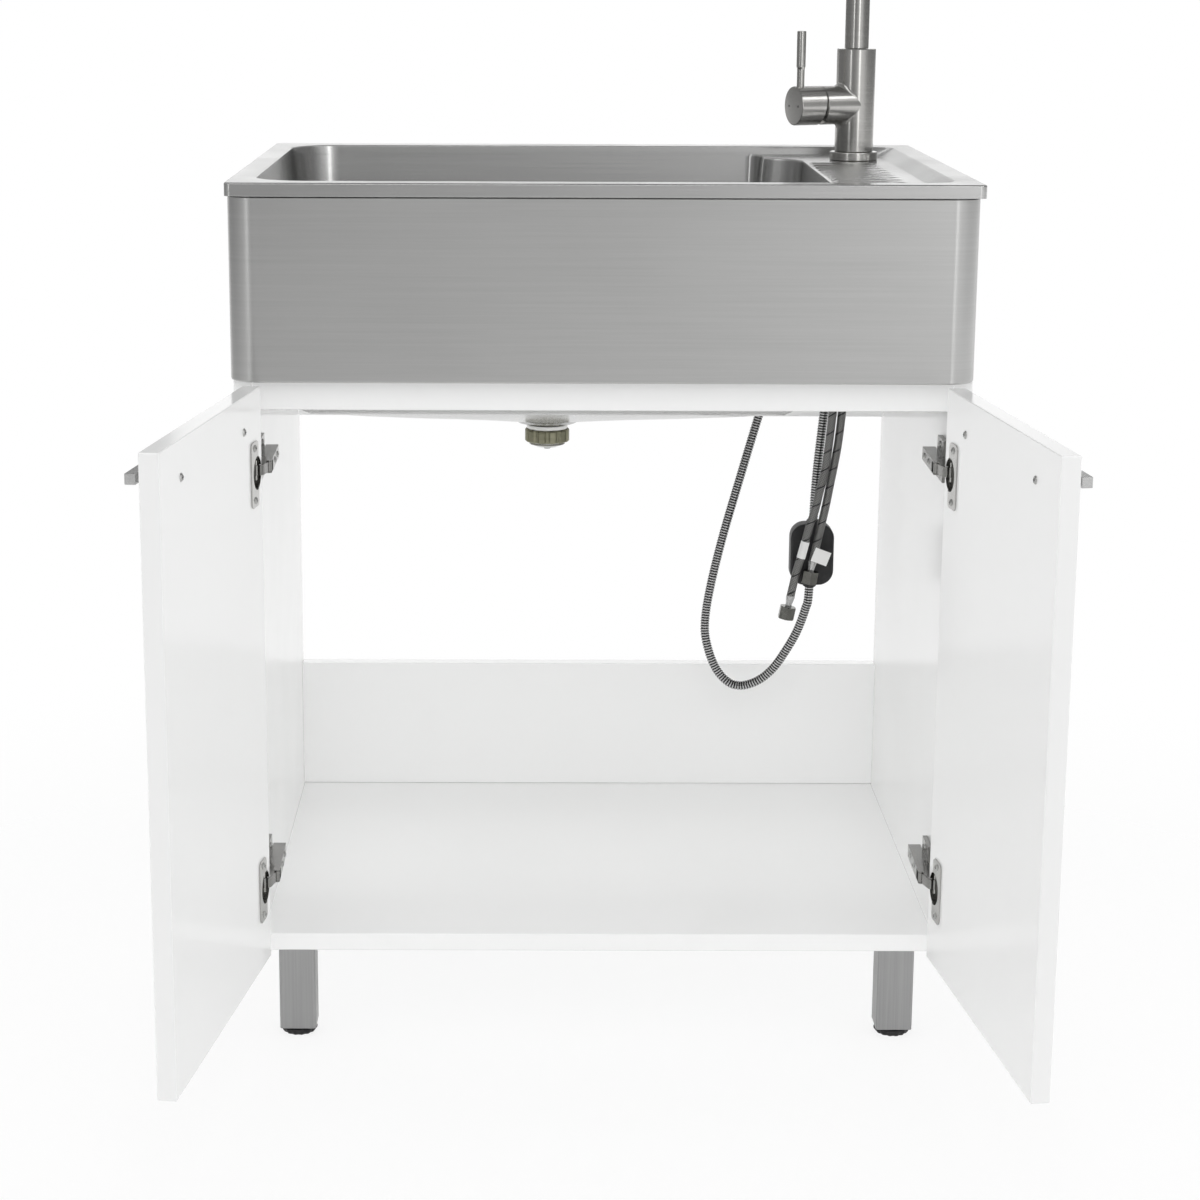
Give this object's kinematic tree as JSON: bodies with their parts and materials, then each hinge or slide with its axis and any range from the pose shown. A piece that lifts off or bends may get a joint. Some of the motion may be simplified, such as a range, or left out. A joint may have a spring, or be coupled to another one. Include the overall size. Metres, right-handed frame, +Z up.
{
  "type": "laundry_sink_cabinet",
  "caption": "Freestanding laundry cabinet with a deep stainless sink, ribbed drainer, pull-out mixer tap and two white gloss doors, shown open.",
  "frame": {"origin": "On the floor, under the middle of the outline with both doors open", "axes": "X to the right seen from the front, Y from the open doors to the wall, Z up"},
  "size_m": [0.836, 0.9067, 1.2746],
  "materials": {
    "brushed_sink_steel": "fine brushed stainless sheet",
    "brushed_tap_steel": "brushed stainless, slightly warm",
    "leg_steel": "satin stainless tube and bar",
    "nickel_plate": "bright nickel plating",
    "white_gloss_board": "white high-gloss laminate",
    "black_plastic": "moulded, satin",
    "white_plastic": "moulded, smooth",
    "lock_nut_brass": "dull cast brass",
    "gasket_rubber": "matt",
    "steel_braid": "woven or ribbed metal"
  },
  "bodies": {
    "cabinet": {"back_rail": "white_gloss_board", "bottom_panel": "white_gloss_board", "cold_hose": "steel_braid", "cold_hose_nut": "nickel_plate", "front_left_leg": "leg_steel", "front_rail": "white_gloss_board", "front_right_leg": "leg_steel", "hose_weight": "black_plastic", "hot_hose": "steel_braid", "hot_hose_nut": "nickel_plate", "left_lower_hinge_arm": "nickel_plate", "left_side_panel": "white_gloss_board", "left_upper_hinge_arm": "nickel_plate", "low_back_panel": "white_gloss_board", "pull_out_hose": "steel_braid", "rear_left_leg": "leg_steel", "rear_right_leg": "leg_steel", "right_lower_hinge_arm": "nickel_plate", "right_side_panel": "white_gloss_board", "right_upper_hinge_arm": "nickel_plate", "sink_apron": "brushed_sink_steel", "sink_top": "brushed_sink_steel", "tap_backing_nut": "lock_nut_brass", "tap_base_ring": "brushed_tap_steel", "tap_body": "brushed_tap_steel", "tap_shank": "lock_nut_brass", "waste_body": "brushed_sink_steel", "waste_gasket": "gasket_rubber", "waste_lock_nut": "lock_nut_brass", "waste_tail_plug": "white_plastic", "waste_washer": "white_plastic"},
    "left_hinge_links": {"left_upper_hinge_link": "nickel_plate", "left_lower_hinge_link": "nickel_plate"},
    "right_hinge_links": {"right_upper_hinge_link": "nickel_plate", "right_lower_hinge_link": "nickel_plate"},
    "left_door": {"left_door": "white_gloss_board", "left_handle": "leg_steel", "left_upper_hinge_cup": "nickel_plate", "left_lower_hinge_cup": "nickel_plate"},
    "right_door": {"right_door": "white_gloss_board", "right_handle": "leg_steel", "right_upper_hinge_cup": "nickel_plate", "right_lower_hinge_cup": "nickel_plate"},
    "basket": {"basket_strainer": "brushed_sink_steel"},
    "tap_spindle": {"cartridge_spindle": "nickel_plate"},
    "tap_lever": {"handle_cap": "brushed_tap_steel", "lever_pin": "brushed_tap_steel"},
    "spout": {"spout": "brushed_tap_steel"},
    "spray": {"spray_head": "brushed_tap_steel", "spray_hose": "steel_braid"},
    "front_left_foot": {"front_left_foot": "black_plastic"},
    "front_right_foot": {"front_right_foot": "black_plastic"},
    "rear_left_foot": {"rear_left_foot": "black_plastic"},
    "rear_right_foot": {"rear_right_foot": "black_plastic"}
  },
  "joints": [
    {"name": "left_link_turn", "type": "hinge", "parent": "cabinet", "child": "left_hinge_links", "pos_m": [-0.32401, -0.08386, 0.623], "axis": [0, 0, -1], "range_deg": [-3.8, 73.55]},
    {"name": "left_door_turn", "type": "hinge", "parent": "left_hinge_links", "child": "left_door", "pos_m": [-0.33441, -0.1056, 0.623], "axis": [0, 0, -1], "range_deg": [-171.5, 8.75]},
    {"name": "right_link_turn", "type": "hinge", "parent": "cabinet", "child": "right_hinge_links", "pos_m": [0.33119, -0.08386, 0.623], "axis": [0, 0, 1], "range_deg": [-3.8, 72.42]},
    {"name": "right_door_turn", "type": "hinge", "parent": "right_hinge_links", "child": "right_door", "pos_m": [0.34202, -0.10539, 0.623], "axis": [0, 0, 1], "range_deg": [-168.88, 8.75]},
    {"name": "basket_lift", "type": "slide", "parent": "cabinet", "child": "basket", "axis": [0, 0, 1], "range_m": [0, 0.06]},
    {"name": "valve_turn", "type": "hinge", "parent": "cabinet", "child": "tap_spindle", "pos_m": [0.29109, 0.33844, 0.952], "axis": [-0.9205, -0.3907, 0], "range_deg": [-40, 40]},
    {"name": "lever_tilt", "type": "hinge", "parent": "tap_spindle", "child": "tap_lever", "pos_m": [0.24875, 0.32047, 0.952], "axis": [0.3907, -0.9205, 0], "range_deg": [0, 12]},
    {"name": "spout_turn", "type": "hinge", "parent": "cabinet", "child": "spout", "pos_m": [0.29109, 0.33844, 1.0134], "axis": [0, 0, 1], "range_deg": [-50, 80]},
    {"name": "spray_pull", "type": "slide", "parent": "spout", "child": "spray", "axis": [0, 0, -1], "range_m": [0, 0.17], "deforming": ["spray_hose"]},
    {"name": "front_left_foot_screw", "type": "slide", "parent": "cabinet", "child": "front_left_foot", "axis": [0, 0, -1], "range_m": [0, 0.015]},
    {"name": "front_right_foot_screw", "type": "slide", "parent": "cabinet", "child": "front_right_foot", "axis": [0, 0, -1], "range_m": [0, 0.015]},
    {"name": "rear_left_foot_screw", "type": "slide", "parent": "cabinet", "child": "rear_left_foot", "axis": [0, 0, -1], "range_m": [0, 0.015]},
    {"name": "rear_right_foot_screw", "type": "slide", "parent": "cabinet", "child": "rear_right_foot", "axis": [0, 0, -1], "range_m": [0, 0.015]}
  ],
  "couplings": [
    {"joint": "left_link_turn", "follows": "left_door_turn", "ratio": -0.42857},
    {"joint": "right_link_turn", "follows": "right_door_turn", "ratio": -0.42857}
  ]
}
